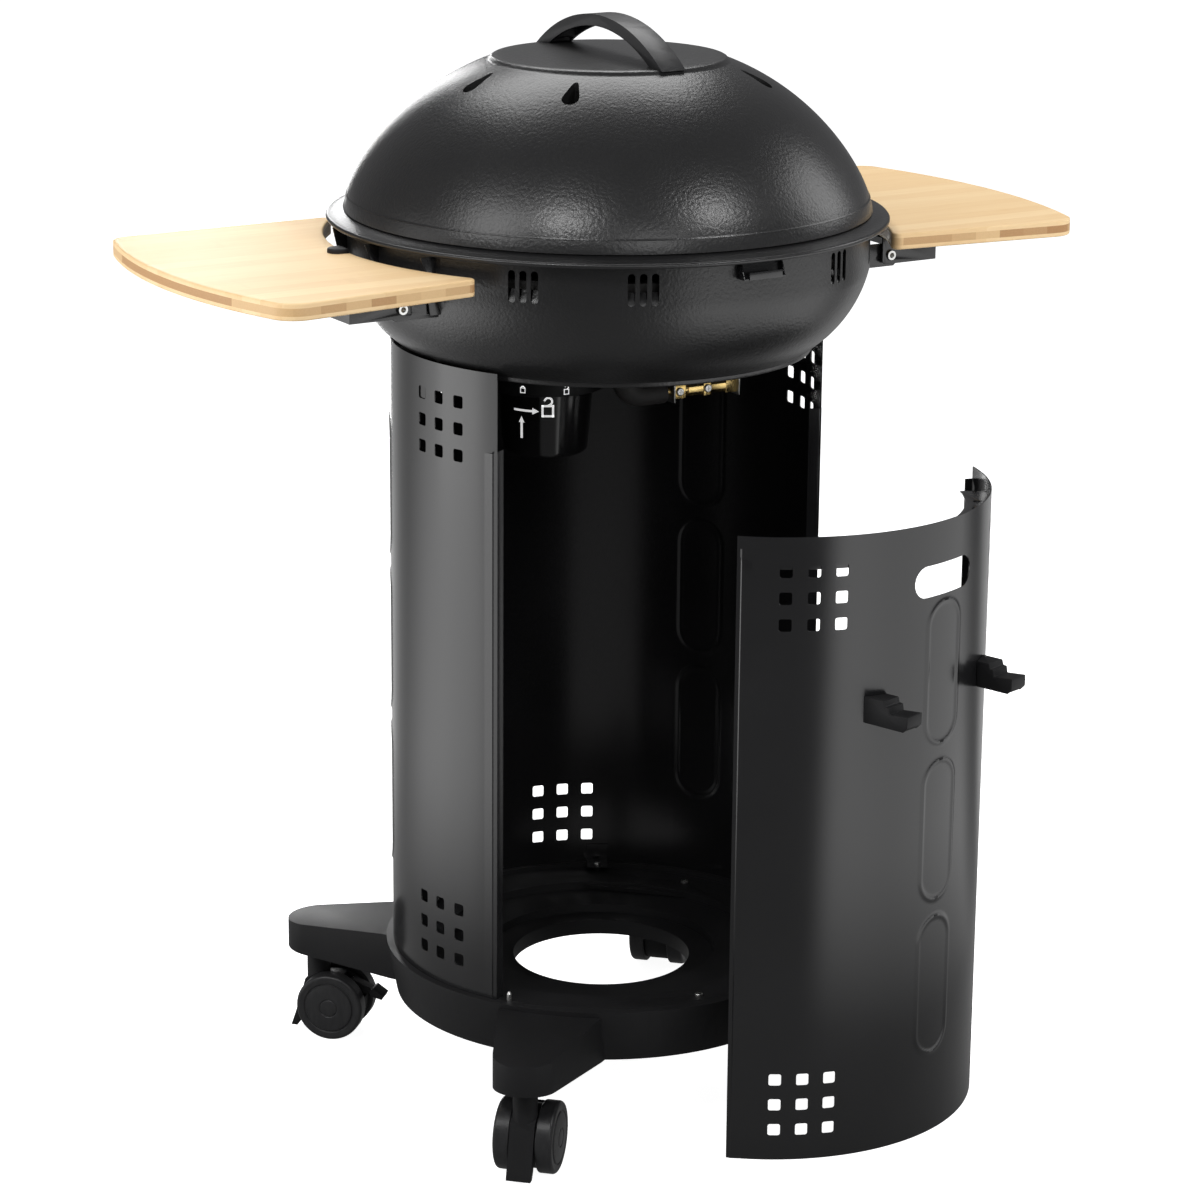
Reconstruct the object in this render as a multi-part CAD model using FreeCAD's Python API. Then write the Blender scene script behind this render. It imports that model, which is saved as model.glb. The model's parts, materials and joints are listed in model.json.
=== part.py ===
import FreeCAD, Part
import math
import os

# Gas kettle barbecue on a round sheet-steel cabinet, in millimetres.
# Frame: origin on the floor under the cabinet axis, front of the cabinet to -Y, right to +X, +Z up.
# Azimuths are degrees from the front, growing towards the right-hand side.

V = FreeCAD.Vector
Z_AXIS = V(0, 0, 1)

# ---- driving dimensions -------------------------------------------------
cabinet_radius = 210.0
panel_sheet = 1.2
panel_bottom = 136.0
panel_top = 754.0
panel_gap_deg = 0.08

base_hole_radius = 89.0
base_skirt_bottom = 84.0
base_foot_radius = 207.0
base_rim_radius = 217.0
base_wall = 3.5

leg_azimuths = {"fl": -45.0, "fr": 45.0, "rl": -135.0, "rr": 135.0}
leg_tip_centre = 300.0
leg_tip_radius = 31.0
leg_taper_deg = 12.0
leg_fillet = 30.0
leg_root_radius = 212.0

wheel_radius = 35.0
wheel_width = 17.5
wheel_trail = 19.0
caster_web = 24.0
stem_radius = 5.5
axle_radius = 4.0
hub_cap = 4.0
brake_pivot = (34.0, 52.0)
running_gap = 0.05

bowl_wall_radius = 252.0
bowl_sheet = 1.5
bowl_bottom = 728.0
bowl_ledge = 745.0
bowl_shoulder = 826.0
rim_radius = 268.0
rim_top = 878.4
bowl_turn_deg = 1.5
louvre_width = 6.8

lid_edge_radius = 253.5
lid_edge = 879.0
lid_sheet = 1.4
lid_disc_radius = 118.0
lid_crown = 1027.0

handle_screw_y = 106.0
handle_screw_top = 1026.5

board_top = 856.0
board_thickness = 16.0
catch_seat = 3.0
board_inner_radius = 272.5
board_outer_radius = 543.0
board_outer_centre = (-80.0, 12.0)
hinge_x = 271.6
hinge_z = 820.6
arm_half_width = 88.0
arm_bottom = 812.0
plate = 2.0
rivet_head_radius = 4.6

hook_offset = 81.9
hook_reach = 239.3
hook_width = 22.5

cup_place = (-43.0, 43.0)
cup_radius = 46.5
cup_bottom = 635.0
collar_bottom = 700.0

jet_y = -30.0
jet_z = 697.0
jet_half = 7.2
hose_tail_x = 106.0

front_panel_turn = 17.0
front_panel_place = (118.9, -118.2)


# ---- helpers ------------------------------------------------------------
def polar(radius, azimuth, z=0.0):
    a = math.radians(azimuth)
    return V(radius * math.sin(a), -radius * math.cos(a), z)


def turned(shape, azimuth):
    copy = shape.copy()
    copy.rotate(V(0, 0, 0), Z_AXIS, azimuth)
    return copy


def moved(shape, x, y, z=0.0):
    copy = shape.copy()
    copy.translate(V(x, y, z))
    return copy


def mirrored_x(shape):
    return shape.mirror(V(0, 0, 0), V(1, 0, 0))


def box(x0, x1, y0, y1, z0, z1):
    return Part.makeBox(x1 - x0, y1 - y0, z1 - z0, V(x0, y0, z0))


def rod(start, end, radius):
    run = end - start
    return Part.makeCylinder(radius, run.Length, start, run)


def post(radius, z0, z1, x=0.0, y=0.0):
    return Part.makeCylinder(radius, z1 - z0, V(x, y, z0))


def outline(place, start, moves):
    """A closed wire: a move is the end of a straight run, or (middle, end) of an arc."""
    edges = []
    here = place(*start)
    for move in moves:
        if isinstance(move[0], tuple):
            middle = place(*move[0])
            end = place(*move[1])
            edges.append(Part.Arc(here, middle, end).toShape())
        else:
            end = place(*move)
            edges.append(Part.makeLine(here, end))
        here = end
    if here.distanceToPoint(place(*start)) > 1e-6:
        edges.append(Part.makeLine(here, place(*start)))
    return Part.Wire(edges)


def revolved(start, *moves):
    """A solid of revolution about the vertical axis, from a section in radius and height."""
    wire = outline(lambda r, z: V(r, 0, z), start, moves)
    return Part.Face(wire).revolve(V(0, 0, 0), Z_AXIS, 360)


def slab_yz(x0, x1, start, *moves):
    wire = outline(lambda y, z: V(x0, y, z), start, moves)
    return Part.Face(wire).extrude(V(x1 - x0, 0, 0))


def slab_xz(y0, y1, start, *moves):
    wire = outline(lambda x, z: V(x, y0, z), start, moves)
    return Part.Face(wire).extrude(V(0, y1 - y0, 0))


def slab_xy(z0, z1, start, *moves):
    wire = outline(lambda x, y: V(x, y, z0), start, moves)
    return Part.Face(wire).extrude(V(0, 0, z1 - z0))


def joined(*shapes):
    return shapes[0].multiFuse(list(shapes[1:])).removeSplitter()


def cut_all(shape, tools):
    return shape.cut(Part.makeCompound(list(tools)))


def rounded_prism(width, height, corner, y0, y1):
    """A rounded rectangle in the XZ plane, run along Y."""
    w = width / 2
    h = height / 2
    k = corner * (1 - math.sqrt(0.5))
    return slab_xz(
        y0, y1, (-w + corner, -h), (w - corner, -h), ((w - k, -h + k), (w, -h + corner)),
        (w, h - corner), ((w - k, h - k), (w - corner, h)), (-w + corner, h),
        ((-w + k, h - k), (-w, h - corner)), (-w, -h + corner), ((-w + k, -h + k), (-w + corner, -h)),
    )


def curved_wall(outer, thickness, z0, z1, a0, a1):
    """A part of an upright tube between two azimuths."""
    start = a0 - 90
    full = Part.makeCylinder(outer, z1 - z0, V(0, 0, z0), Z_AXIS, a1 - a0)
    core = Part.makeCylinder(outer - thickness, z1 - z0, V(0, 0, z0), Z_AXIS, a1 - a0)
    wall = full.cut(core)
    wall.rotate(V(0, 0, 0), Z_AXIS, start)
    return wall


def pan_head(point, direction, radius=3.4, height=2.2):
    """A screw head with a cross recess, seated at a point and facing along a direction."""
    head = Part.makeCylinder(radius, height, V(0, 0, 0))
    head = head.makeFillet(height * 0.45, [head.Edges[0]])
    reach = radius * 0.55
    slot_a = box(-reach, reach, -0.45, 0.45, height - 0.9, height + 1)
    slot_b = box(-0.45, 0.45, -reach, reach, height - 0.9, height + 1)
    head = head.cut(slot_a).cut(slot_b)
    head.Placement = FreeCAD.Placement(point, FreeCAD.Rotation(Z_AXIS, direction))
    return head


# ---- base moulding ------------------------------------------------------
def leg_plan(inset, z0, z1):
    """The leg's plan as a prism, pointing to +X from the cabinet axis."""
    taper = math.radians(leg_taper_deg)
    tip = leg_tip_radius - inset
    fillet = leg_fillet + inset
    root = leg_root_radius - inset
    normal = (math.sin(taper), math.cos(taper))
    run = (-math.cos(taper), math.sin(taper))
    offset = leg_tip_centre * normal[0] + tip
    reach = math.sqrt((root + fillet) ** 2 - (offset + fillet) ** 2)
    cx = normal[0] * (offset + fillet) + run[0] * reach
    cy = normal[1] * (offset + fillet) + run[1] * reach
    on_side = (cx - fillet * normal[0], cy - fillet * normal[1])
    share = root / (root + fillet)
    on_ring = (cx * share, cy * share)
    toward = ((on_side[0] + on_ring[0]) / 2 - cx, (on_side[1] + on_ring[1]) / 2 - cy)
    length = math.hypot(*toward)
    between = (cx + toward[0] * fillet / length, cy + toward[1] * fillet / length)
    tangent = (leg_tip_centre + tip * normal[0], tip * normal[1])

    def low(point):
        return (point[0], -point[1])

    return slab_xy(
        z0, z1, on_ring, (between, on_side), tangent,
        ((leg_tip_centre + tip, 0.0), low(tangent)), low(on_side), (low(between), low(on_ring)),
    )


def base_leg():
    top_root = 130.8
    top_tip = 122.8
    bottom_tip = 94.0
    reach = leg_tip_centre + leg_tip_radius
    body = leg_plan(0.0, 60.0, 150.0)
    side = slab_xz(
        -90, 90, (150, base_skirt_bottom), (base_foot_radius, base_skirt_bottom), (reach + 4, bottom_tip),
        (reach + 4, top_tip), (base_rim_radius, top_root), (150, 128),
    )
    body = body.common(side)
    pocket = leg_plan(base_wall, 60.0, 150.0)
    under = slab_xz(
        -90, 90, (150, 60), (reach + 4, 60), (reach + 4, top_tip - base_wall),
        (base_rim_radius, top_root - base_wall), (150, 124),
    )
    body = body.cut(pocket.common(under))
    boss = post(13.0, 92.0, 121.5, leg_tip_centre, 0)
    ribs = [box(232, 234.5, -46, 46, 92, 127), box(262, 264.5, -39, 39, 94, 125)]
    spine = box(205, leg_tip_centre, -1.25, 1.25, 95, 125)
    inside = leg_plan(base_wall - 0.5, 60.0, 150.0).common(under)
    webs = [web.common(inside) for web in ribs + [spine]]
    body = joined(body, boss, *webs)
    return body.cut(post(stem_radius, 80, 118, leg_tip_centre, 0))


def base_moulding():
    ring = revolved(
        (base_foot_radius, base_skirt_bottom), (base_rim_radius, panel_bottom), (203, panel_bottom),
        (203, 131), (160, 131), (159, 123), (114, 123), (113, 115), (base_hole_radius, 115),
        (base_hole_radius, 100),
        (92.5, 100), (92.5, 111.5), (116.5, 111.5), (117.5, 119.5), (162.5, 119.5), (163.5, 127.5),
        (211.9, 127.5), (203.5, base_skirt_bottom),
    )
    ribs = [turned(box(-1.25, 1.25, -206, -92, 101, 112), 22.5 + 45 * k) for k in range(8)]
    high_ribs = [turned(box(-1.25, 1.25, -206, -163, 101, 128), 22.5 + 45 * k) for k in range(8)]
    under = revolved(
        (92, 101), (92, 112), (117, 112), (118, 120), (163, 120), (164, 128), (208, 128), (204.5, 101),
    )
    webs = [rib.common(under) for rib in ribs + high_ribs]
    leg = base_leg()
    legs = [turned(leg, azimuth - 90) for azimuth in leg_azimuths.values()]
    base = joined(ring, *webs, *legs)
    sockets = [post(2.0, 120, 135, *tuple(polar(182.5, a))[:2]) for a in (0, 120, 240)]
    pins = [post(2.5, 120, 140, *tuple(polar(206.3, a))[:2]) for a in (-56.8, 56.8)]
    return cut_all(base, sockets + pins)


def base_screws():
    heads = [pan_head(polar(182.5, a, 131.0), Z_AXIS, 4.2, 2.4) for a in (0, 120, 240)]
    shanks = [post(2.0, 120, 131.2, *tuple(polar(182.5, a))[:2]) for a in (0, 120, 240)]
    return Part.makeCompound([joined(h, s) for h, s in zip(heads, shanks)])


def locating_pins():
    pins = []
    for azimuth in (-56.8, 56.8):
        place = polar(206.3, azimuth)
        pin = post(2.5, 120, 143, place.x, place.y)
        cap = Part.makeCone(2.5, 1.2, 2.5, V(place.x, place.y, 143))
        pins.append(joined(pin, cap))
    return Part.makeCompound(pins)


# ---- casters ------------------------------------------------------------
def caster_place(shape, azimuth):
    spot = polar(leg_tip_centre, azimuth)
    return moved(turned(shape, azimuth), spot.x, spot.y)


def caster_stem():
    stem = post(stem_radius, 56, 117)
    collar = post(9.5, 88.2, 91.6)
    return joined(stem, collar)


def caster_body():
    """The swivelling body between the wheels: pivot housing, centre web and front skirt."""
    half = caster_web / 2
    web = rod(V(-half, wheel_trail, wheel_radius), V(half, wheel_trail, wheel_radius), 31.0)
    housing = post(half, 40, 87.5)
    skirt = slab_yz(
        -half, half, (2, 66), (-11.5, 58), ((-18.0, 34), (-27, 6)), (-20.5, 6),
        ((-15.5, 14), (-12.5, 26)), (2, 30),
    )
    body = joined(web, housing, skirt)
    bore = post(stem_radius + running_gap, 55, 90)
    bore_radius = axle_radius + running_gap
    across = rod(V(-20, wheel_trail, wheel_radius), V(20, wheel_trail, wheel_radius), bore_radius)
    lever_room = box(-6.4, 6.4, 28.5, 60, 40, 72)
    lever_bore = rod(V(-half - 1, *brake_pivot), V(half + 1, *brake_pivot), 2.2 + running_gap)
    return body.cut(bore).cut(across).cut(lever_room).cut(lever_bore)


def caster_wheel_pair():
    inner = caster_web / 2 + 0.6
    outer = inner + wheel_width
    section = revolved(
        (axle_radius, 0), (wheel_radius - 1.5, 0), ((wheel_radius - 0.4, 0.5), (wheel_radius, 1.8)),
        (wheel_radius, 12.5), ((wheel_radius - 1.0, 15.2), (wheel_radius - 4.5, 16.2)), (27.0, 16.2),
        (26.2, 15.2), (25.2, 15.2), (24.4, 16.6), ((14.0, wheel_width - 0.2), (10.0, wheel_width)),
        (9.4, 16.8), (8.8, 16.8), (8.2, wheel_width), (0, wheel_width), (0, wheel_width - hub_cap),
        (axle_radius, wheel_width - hub_cap),
    )
    right = section.copy()
    right.rotate(V(0, 0, 0), V(0, 1, 0), 90)
    right = moved(right, inner, wheel_trail, wheel_radius)
    return Part.makeCompound([right, mirrored_x(right)]), outer


def caster_axle(reach):
    shaft = rod(V(-reach, wheel_trail, wheel_radius), V(reach, wheel_trail, wheel_radius), axle_radius)
    return shaft


def brake_pedal():
    """A toe lever in a slot at the back of the body, pivoted on a cross pin."""
    arm = slab_yz(-5.5, 5.5, (30.5, 56), (37, 60), (60, 51), (58, 45), (40, 47.5), (32, 47.5))
    toe = slab_yz(-9.0, 9.0, (56.5, 50.5), (61, 53), (72, 45.5), (70, 41.5), (57.5, 44.5))
    half = caster_web / 2
    pin = rod(V(0.5 - half, *brake_pivot), V(half - 0.5, *brake_pivot), 2.2)
    return joined(arm, toe, pin)


# ---- cabinet ------------------------------------------------------------
def hole_groups(a0, a1, z0):
    """Square rounded air holes: three by three near each corner of a panel."""
    edge_steps = (12.43, 19.66, 26.88)
    rows = (721.4, 695.7, 670.1, 218.2, 192.6, 166.9)
    punch = rounded_prism(12.0, 12.0, 2.2, -cabinet_radius - 6, -cabinet_radius + 8)
    azimuths = [a0 + s for s in edge_steps] + [a1 - s for s in edge_steps]
    return [turned(moved(punch, 0, 0, z + z0), a) for a in azimuths for z in rows]


def long_beads(azimuth, z0):
    """Plain pressed beads: three upright rounded loops on the middle of a panel."""
    rings = []
    for k in range(3):
        loop = rounded_prism(50.0, 140.0, 24.9, -cabinet_radius - 6, -cabinet_radius + 8)
        hole = rounded_prism(42.0, 132.0, 20.9, -cabinet_radius - 6, -cabinet_radius + 8)
        rings.append(turned(moved(loop.cut(hole), 0, 0, 290.0 + 158.0 * k + z0), azimuth))
    return rings


def cabinet_panel(a0, a1, z0=0.0):
    """One third of the cabinet: a rolled sheet with air holes and pressed beads."""
    low = panel_bottom + z0
    high = panel_top + z0
    wall = curved_wall(cabinet_radius, panel_sheet, low, high, a0 + panel_gap_deg, a1 - panel_gap_deg)
    wall = cut_all(wall, hole_groups(a0, a1, z0))
    raised = curved_wall(cabinet_radius + 0.9, 0.95, low + 20, high - 20, a0 + 40, a1 - 40)
    sunk = curved_wall(cabinet_radius - panel_sheet + 0.5, 1.0, low + 20, high - 20, a0 + 40, a1 - 40)
    rings = Part.makeCompound(long_beads((a0 + a1) / 2, z0))
    wall = wall.fuse(raised.common(rings))
    return wall.cut(sunk.common(rings)).removeSplitter()


def edge_return(azimuth, side, z_low, z_high, depth=12.0):
    """A narrow flange folded inwards along a panel's upright edge."""
    strip = box(-panel_sheet, 0, -cabinet_radius + 0.3, -cabinet_radius + depth, z_low, z_high)
    if side > 0:
        strip = box(0, panel_sheet, -cabinet_radius + 0.3, -cabinet_radius + depth, z_low, z_high)
    return turned(strip, azimuth + side * panel_gap_deg)


def left_panel():
    wall = cabinet_panel(-180, -60)
    return joined(wall, edge_return(-60, -1, panel_bottom, 681))


def right_panel():
    wall = cabinet_panel(60, 180)
    return joined(wall, edge_return(60, 1, panel_bottom, 681))


def seam_strip():
    return curved_wall(cabinet_radius - panel_sheet, 1.5, 150, 700, 176.4, 183.6)


def foot_brackets():
    back = 0.4 + panel_sheet - cabinet_radius
    angle = joined(
        box(-11, 11, back, back + 1.6, panel_bottom, 156),
        box(-11, 11, back, -188, panel_bottom, panel_bottom + 1.5),
    )
    spacer = post(4.0, 131, panel_bottom, 0, -195)
    angle = joined(angle, spacer)
    return Part.makeCompound([turned(angle, a) for a in (-150, -90, 90, 150)])


def bowl_brackets():
    inside = cabinet_radius - panel_sheet
    upright = curved_wall(inside, 1.5, 705, bowl_ledge - 2, -4, 4)
    shelf = curved_wall(inside, 46.0, bowl_ledge - 2, bowl_ledge, -4, 4)
    angle = joined(upright, shelf)
    return Part.makeCompound([turned(angle, a) for a in (-150, -90, 90, 150)])


def cabinet_screws():
    heads = []
    for z in (190, 360, 530, 690):
        for azimuth in (177.9, 182.1):
            heads.append(pan_head(polar(cabinet_radius, azimuth, z), polar(1, azimuth)))
    for azimuth in (-150, -90, 90, 150):
        heads.append(pan_head(polar(195, azimuth, panel_bottom + 1.5), Z_AXIS))
    return Part.makeCompound(heads)


# ---- bowl ---------------------------------------------------------------
def bowl_outer():
    """The bowl's outside as a filled solid."""
    return revolved(
        (0, bowl_bottom), (110, bowl_bottom), (150, bowl_ledge), (198, bowl_ledge), (199, 749.5),
        (218, 765), ((239.5, 793), (bowl_wall_radius, bowl_shoulder)), (bowl_wall_radius, rim_top),
        (0, rim_top),
    )


def bowl_inner():
    wall = bowl_wall_radius - bowl_sheet
    floor = bowl_bottom + bowl_sheet
    ledge = bowl_ledge + bowl_sheet
    return revolved(
        (0, floor), (109.7, floor), (149.7, ledge), (196.7, ledge), (197.7, 750.4),
        (216.8, 766), ((238.1, 793.6), (wall, bowl_shoulder + 0.3)), (wall, rim_top + 3), (0, rim_top + 3),
    )


def bowl():
    shell = bowl_outer().cut(bowl_inner())
    rim = revolved(
        (250.5, rim_top), (252.4, rim_top), (rim_radius, 873.9),
        ((rim_radius + 2.1, 871.7), (rim_radius, 869.5)),
        ((rim_radius - 2.1, 871.2), (rim_radius - 2.0, 872.2)), (252, 876.6), (250.5, 876.0),
    )
    shell = joined(shell, rim)
    half = louvre_width / 2
    slot = rounded_prism(louvre_width, 30.0, half - 0.01, -260, -247)
    tongue = slab_yz(-half, half, (-251.9, 831), (-250.6, 831), (-243.3, 842.6), (-244.4, 843.4))
    slots = []
    tongues = []
    for group in (-50.5, -25.5, 25.5, 50.5, 154.5, -154.5):
        for step in (-2.48, 0, 2.48):
            azimuth = group + bowl_turn_deg + step
            slots.append(turned(moved(slot, 0, 0, 847), azimuth))
            tongues.append(turned(tongue, azimuth))
    outlet = post(30.0, bowl_bottom - 5, bowl_bottom + 10, *cup_place)
    gas_way = post(12.5, bowl_bottom - 5, bowl_bottom + 10, 0, jet_y)
    shell = cut_all(shell, slots + [outlet, gas_way])
    return joined(shell, *tongues)


def bowl_front_catch():
    """A small folded catch under the rim at the front of the bowl."""
    back = curved_wall(bowl_wall_radius + 1.6, 1.5, 853, 867, -5.2, 5.2)
    shelf = box(-23, 23, -263, -250, 853, 854.5)
    lip = box(-18, 18, -264.5, -263, 853, 860)
    cheeks = [
        slab_yz(x, x + 1.5, (-250, 854), (-263, 854), (-257, 866.5), (-250, 866.5)) for x in (-23, 21.5)
    ]
    catch = joined(back, shelf, lip, *cheeks)
    catch = catch.cut(post(bowl_wall_radius + 0.1, 840, 880))
    return turned(catch, bowl_turn_deg)


def grid_rests():
    rest = joined(box(-9, 9, -250.3, -232, 840, 842), box(-9, 9, -250.3, -248.6, 829, 842))
    rest = rest.common(post(bowl_wall_radius - bowl_sheet, 800, 870))
    return Part.makeCompound([turned(rest, a) for a in (0, 90, 180, 270)])


def cooking_grid():
    ring = revolved((230, 842), (237, 842), (237, 850), (230, 850))
    limit = post(233, 800, 900)
    bars = []
    for k in range(-13, 14):
        bars.append(box(k * 16.5 - 3, k * 16.5 + 3, -240, 240, 843, 849).common(limit))
    cross = [box(-240, 240, y - 3, y + 3, 842, 846).common(limit) for y in (-110, 0, 110)]
    return joined(ring, *bars, *cross)


def heat_spreader():
    """A shallow cone over the burner that turns dripping fat away from the flame."""
    cone = revolved((0, 806), (148, 792), (150, 787), (151.5, 787.3), (149.2, 793.6), (0, 807.6))
    holes = [post(4.0, 780, 820, *tuple(polar(95, a))[:2]) for a in range(0, 360, 30)]
    cone = cone.cut(Part.makeCompound(holes))
    legs = []
    for a in (0, 120, 240):
        spot = polar(104, a)
        legs.append(post(3.0, bowl_bottom + bowl_sheet, 797.2, spot.x, spot.y))
    return joined(cone, *legs)


def burner_ring():
    ring = Part.makeTorus(90, 8.5, V(0, 0, 764))
    feeds = [rod(V(0, jet_y, 764), V(0, -88, 764), 7.5), rod(V(0, jet_y, 764), V(0, 88, 764), 7.5)]
    hub = post(13.5, 752, 772, 0, jet_y)
    burner = joined(ring, hub, *feeds)
    ports = []
    for k in range(36):
        azimuth = k * 10 + 5
        ports.append(rod(polar(90, azimuth, 764), polar(102, azimuth, 768), 1.3))
    return cut_all(burner, ports)


def mixing_tube():
    """The gas and air tube: along from the jet, one bend, then up through the bowl to the burner."""
    start = V(46, jet_y, jet_z)
    bend = 20.0
    corner_in = V(bend, jet_y, jet_z)
    corner_out = V(0, jet_y, jet_z + bend)
    k = bend * (1 - math.sqrt(0.5))
    middle = V(k, jet_y, jet_z + k)
    end = V(0, jet_y, 752)
    path = Part.Wire(
        [
            Part.makeLine(start, corner_in),
            Part.Arc(corner_in, middle, corner_out).toShape(),
            Part.makeLine(corner_out, end),
        ]
    )
    tubes = []
    for radius in (11.0, 9.5):
        ring = Part.Wire(Part.makeCircle(radius, start, V(-1, 0, 0)))
        tubes.append(path.makePipeShell([ring], True, False))
    tube = tubes[0].cut(tubes[1])
    windows = [box(35, 42, jet_y - 4, jet_y + 4, jet_z - 13, jet_z + 13)]
    return cut_all(tube, windows)


# ---- gas inlet ----------------------------------------------------------
def jet_bracket():
    y0 = jet_y - 11
    y1 = jet_y + 11
    cheeks = [box(x, x + 1.6, y0, y1, 687, bowl_bottom) for x in (52.4, 127.0)]
    top = box(52.4, 128.6, y0, y1, bowl_bottom - 1.6, bowl_bottom)
    bracket = joined(top, *cheeks)
    return bracket.cut(rod(V(48, jet_y, jet_z), V(60, jet_y, jet_z), 4.0))


def jet_block():
    """A turned and milled brass gas body with three square lands."""
    low = jet_z - jet_half
    high = jet_z + jet_half
    spans = ((54, 68), (89, 97), (115, 127))
    lands = [box(x0, x1, jet_y - jet_half, jet_y + jet_half, low, high) for x0, x1 in spans]
    bars = []
    for x0, x1 in ((72, 89), (97, 115)):
        corners = []
        for k in list(range(8)) + [0]:
            turn = math.radians(22.5 + 45 * k)
            corners.append(V(x0, jet_y + jet_half * math.cos(turn), jet_z + jet_half * math.sin(turn)))
        bars.append(Part.Face(Part.makePolygon(corners)).extrude(V(x1 - x0, 0, 0)))
    neck = rod(V(68, jet_y, jet_z), V(72, jet_y, jet_z), 5.4)
    jet = rod(V(44, jet_y, jet_z), V(55, jet_y, jet_z), 3.9)
    body = joined(lands[0], neck, bars[0], lands[1], bars[1], lands[2], jet)
    return body.cut(rod(V(42, jet_y, jet_z), V(50, jet_y, jet_z), 1.0))


def jet_screws():
    front = V(0, -1, 0)
    heads = [pan_head(V(x, jet_y - jet_half, jet_z), front, 4.0, 2.4) for x in (61, 93)]
    return Part.makeCompound(heads)


def hose_tail():
    """A barbed nozzle for the gas hose, pointing to the back of the cabinet."""
    x = hose_tail_x
    y0 = jet_y + jet_half * math.cos(math.radians(22.5))
    corners = []
    for k in list(range(6)) + [0]:
        turn = math.radians(60 * k)
        corners.append(V(x + 8.0 * math.cos(turn), y0, jet_z + 8.0 * math.sin(turn)))
    nut = Part.Face(Part.makePolygon(corners)).extrude(V(0, 7, 0))
    stem = rod(V(x, y0 + 6, jet_z), V(x, y0 + 32, jet_z), 4.0)
    barbs = [Part.makeCone(4.8, 4.0, 5.0, V(x, y0 + 10 + 6 * k, jet_z), V(0, 1, 0)) for k in range(3)]
    tail = joined(nut, stem, *barbs)
    return tail.cut(rod(V(x, y0 + 8, jet_z), V(x, y0 + 40, jet_z), 2.4))


# ---- drip cup -----------------------------------------------------------
def drip_collar():
    ring = revolved(
        (47.0, collar_bottom), (58.0, collar_bottom), (58.0, bowl_bottom), (40.0, bowl_bottom),
        (40.0, bowl_bottom - 3), (53.0, bowl_bottom - 3), (53.0, 704.0), (47.0, 704.0),
    )
    return moved(ring, *cup_place)


def drip_cup():
    cup = revolved(
        (0, cup_bottom), (36.0, cup_bottom), ((40.2, cup_bottom + 1.4), (41.5, cup_bottom + 5)),
        (cup_radius, 700), (cup_radius, 709.5), (44.3, 709.5), (44.3, 700), (39.4, cup_bottom + 5.5),
        (36, cup_bottom + 2.5), (0, cup_bottom + 2.5),
    )
    lug = curved_wall(52.4, 6.6, 704.3, 709.5, -16, 16)
    cup = joined(cup, *[turned(lug, a) for a in (0, 120, 240)])
    return moved(cup, *cup_place)


# ---- side tables (right-hand set, mirrored for the left) ----------------
def board_edges():
    """Corner points of the board: inner front, outer front, outer back, inner back."""
    slope = math.tan(math.radians(6.5))
    front = 152.0
    back = 189.0
    cx, cy = board_outer_centre
    x_in = 225.7
    for _ in range(20):
        y_in = -(front + (x_in - 220) * slope)
        x_in = math.sqrt(board_inner_radius ** 2 - y_in ** 2)
    x_out = 430.0
    for _ in range(20):
        y_out = -(front + (x_out - 220) * slope)
        x_out = cx + math.sqrt(board_outer_radius ** 2 - (y_out - cy) ** 2)
    inner_back = (math.sqrt(board_inner_radius ** 2 - back ** 2), back)
    outer_back = (cx + math.sqrt(board_outer_radius ** 2 - (back - cy) ** 2), back)
    return (x_in, y_in), (x_out, y_out), outer_back, inner_back


def catch_plan(x_in, z0, z1):
    """The plan of the finger tab that is let into the inner edge of the board."""
    return slab_xy(z0, z1, (x_in, 11.5), (281, 11.5), ((290.5, 21), (281, 30.5)), (x_in, 30.5))


def table_board():
    inner_front, outer_front, outer_back, inner_back = board_edges()
    cx, cy = board_outer_centre
    bottom = board_top - board_thickness
    board = slab_xy(
        bottom, board_top, inner_front, outer_front, ((cx + board_outer_radius, cy), outer_back),
        inner_back, ((board_inner_radius, 0.0), inner_front),
    )
    radii = {inner_front: 7.0, outer_front: 26.0, outer_back: 20.0, inner_back: 7.0}
    for corner, radius in radii.items():
        for edge in board.Edges:
            ends = [v.Point for v in edge.Vertexes]
            upright = len(ends) == 2 and abs(ends[0].z - ends[1].z) > board_thickness - 0.1
            if upright and math.hypot(ends[0].x - corner[0], ends[0].y - corner[1]) < 0.5:
                board = board.makeFillet(radius, [edge])
                break
    rims = [e for e in board.Edges if abs(e.BoundBox.ZLength) < 0.01]
    board = board.makeFillet(1.8, rims)
    return board.cut(catch_plan(262, board_top - catch_seat, board_top + 1))


def table_arm():
    """The folded channel under the board; its cheeks turn on the hinge rivets."""
    inner = 262.0
    outer = 326.0
    top = board_top - board_thickness
    web = box(inner, outer, -arm_half_width, arm_half_width, top - plate, top)
    end = box(outer - plate, outer, -arm_half_width, arm_half_width, arm_bottom, top)
    cheeks = []
    for y in (-arm_half_width, arm_half_width - plate):
        cheeks.append(slab_xz(
            y, y + plate, (inner, arm_bottom + 3), (inner + 3, arm_bottom), (outer, arm_bottom), (outer, top),
            (inner, top),
        ))
    arm = joined(web, end, *cheeks)
    return arm.cut(rod(V(hinge_x, -100, hinge_z), V(hinge_x, 100, hinge_z), axle_radius + running_gap))


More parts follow.
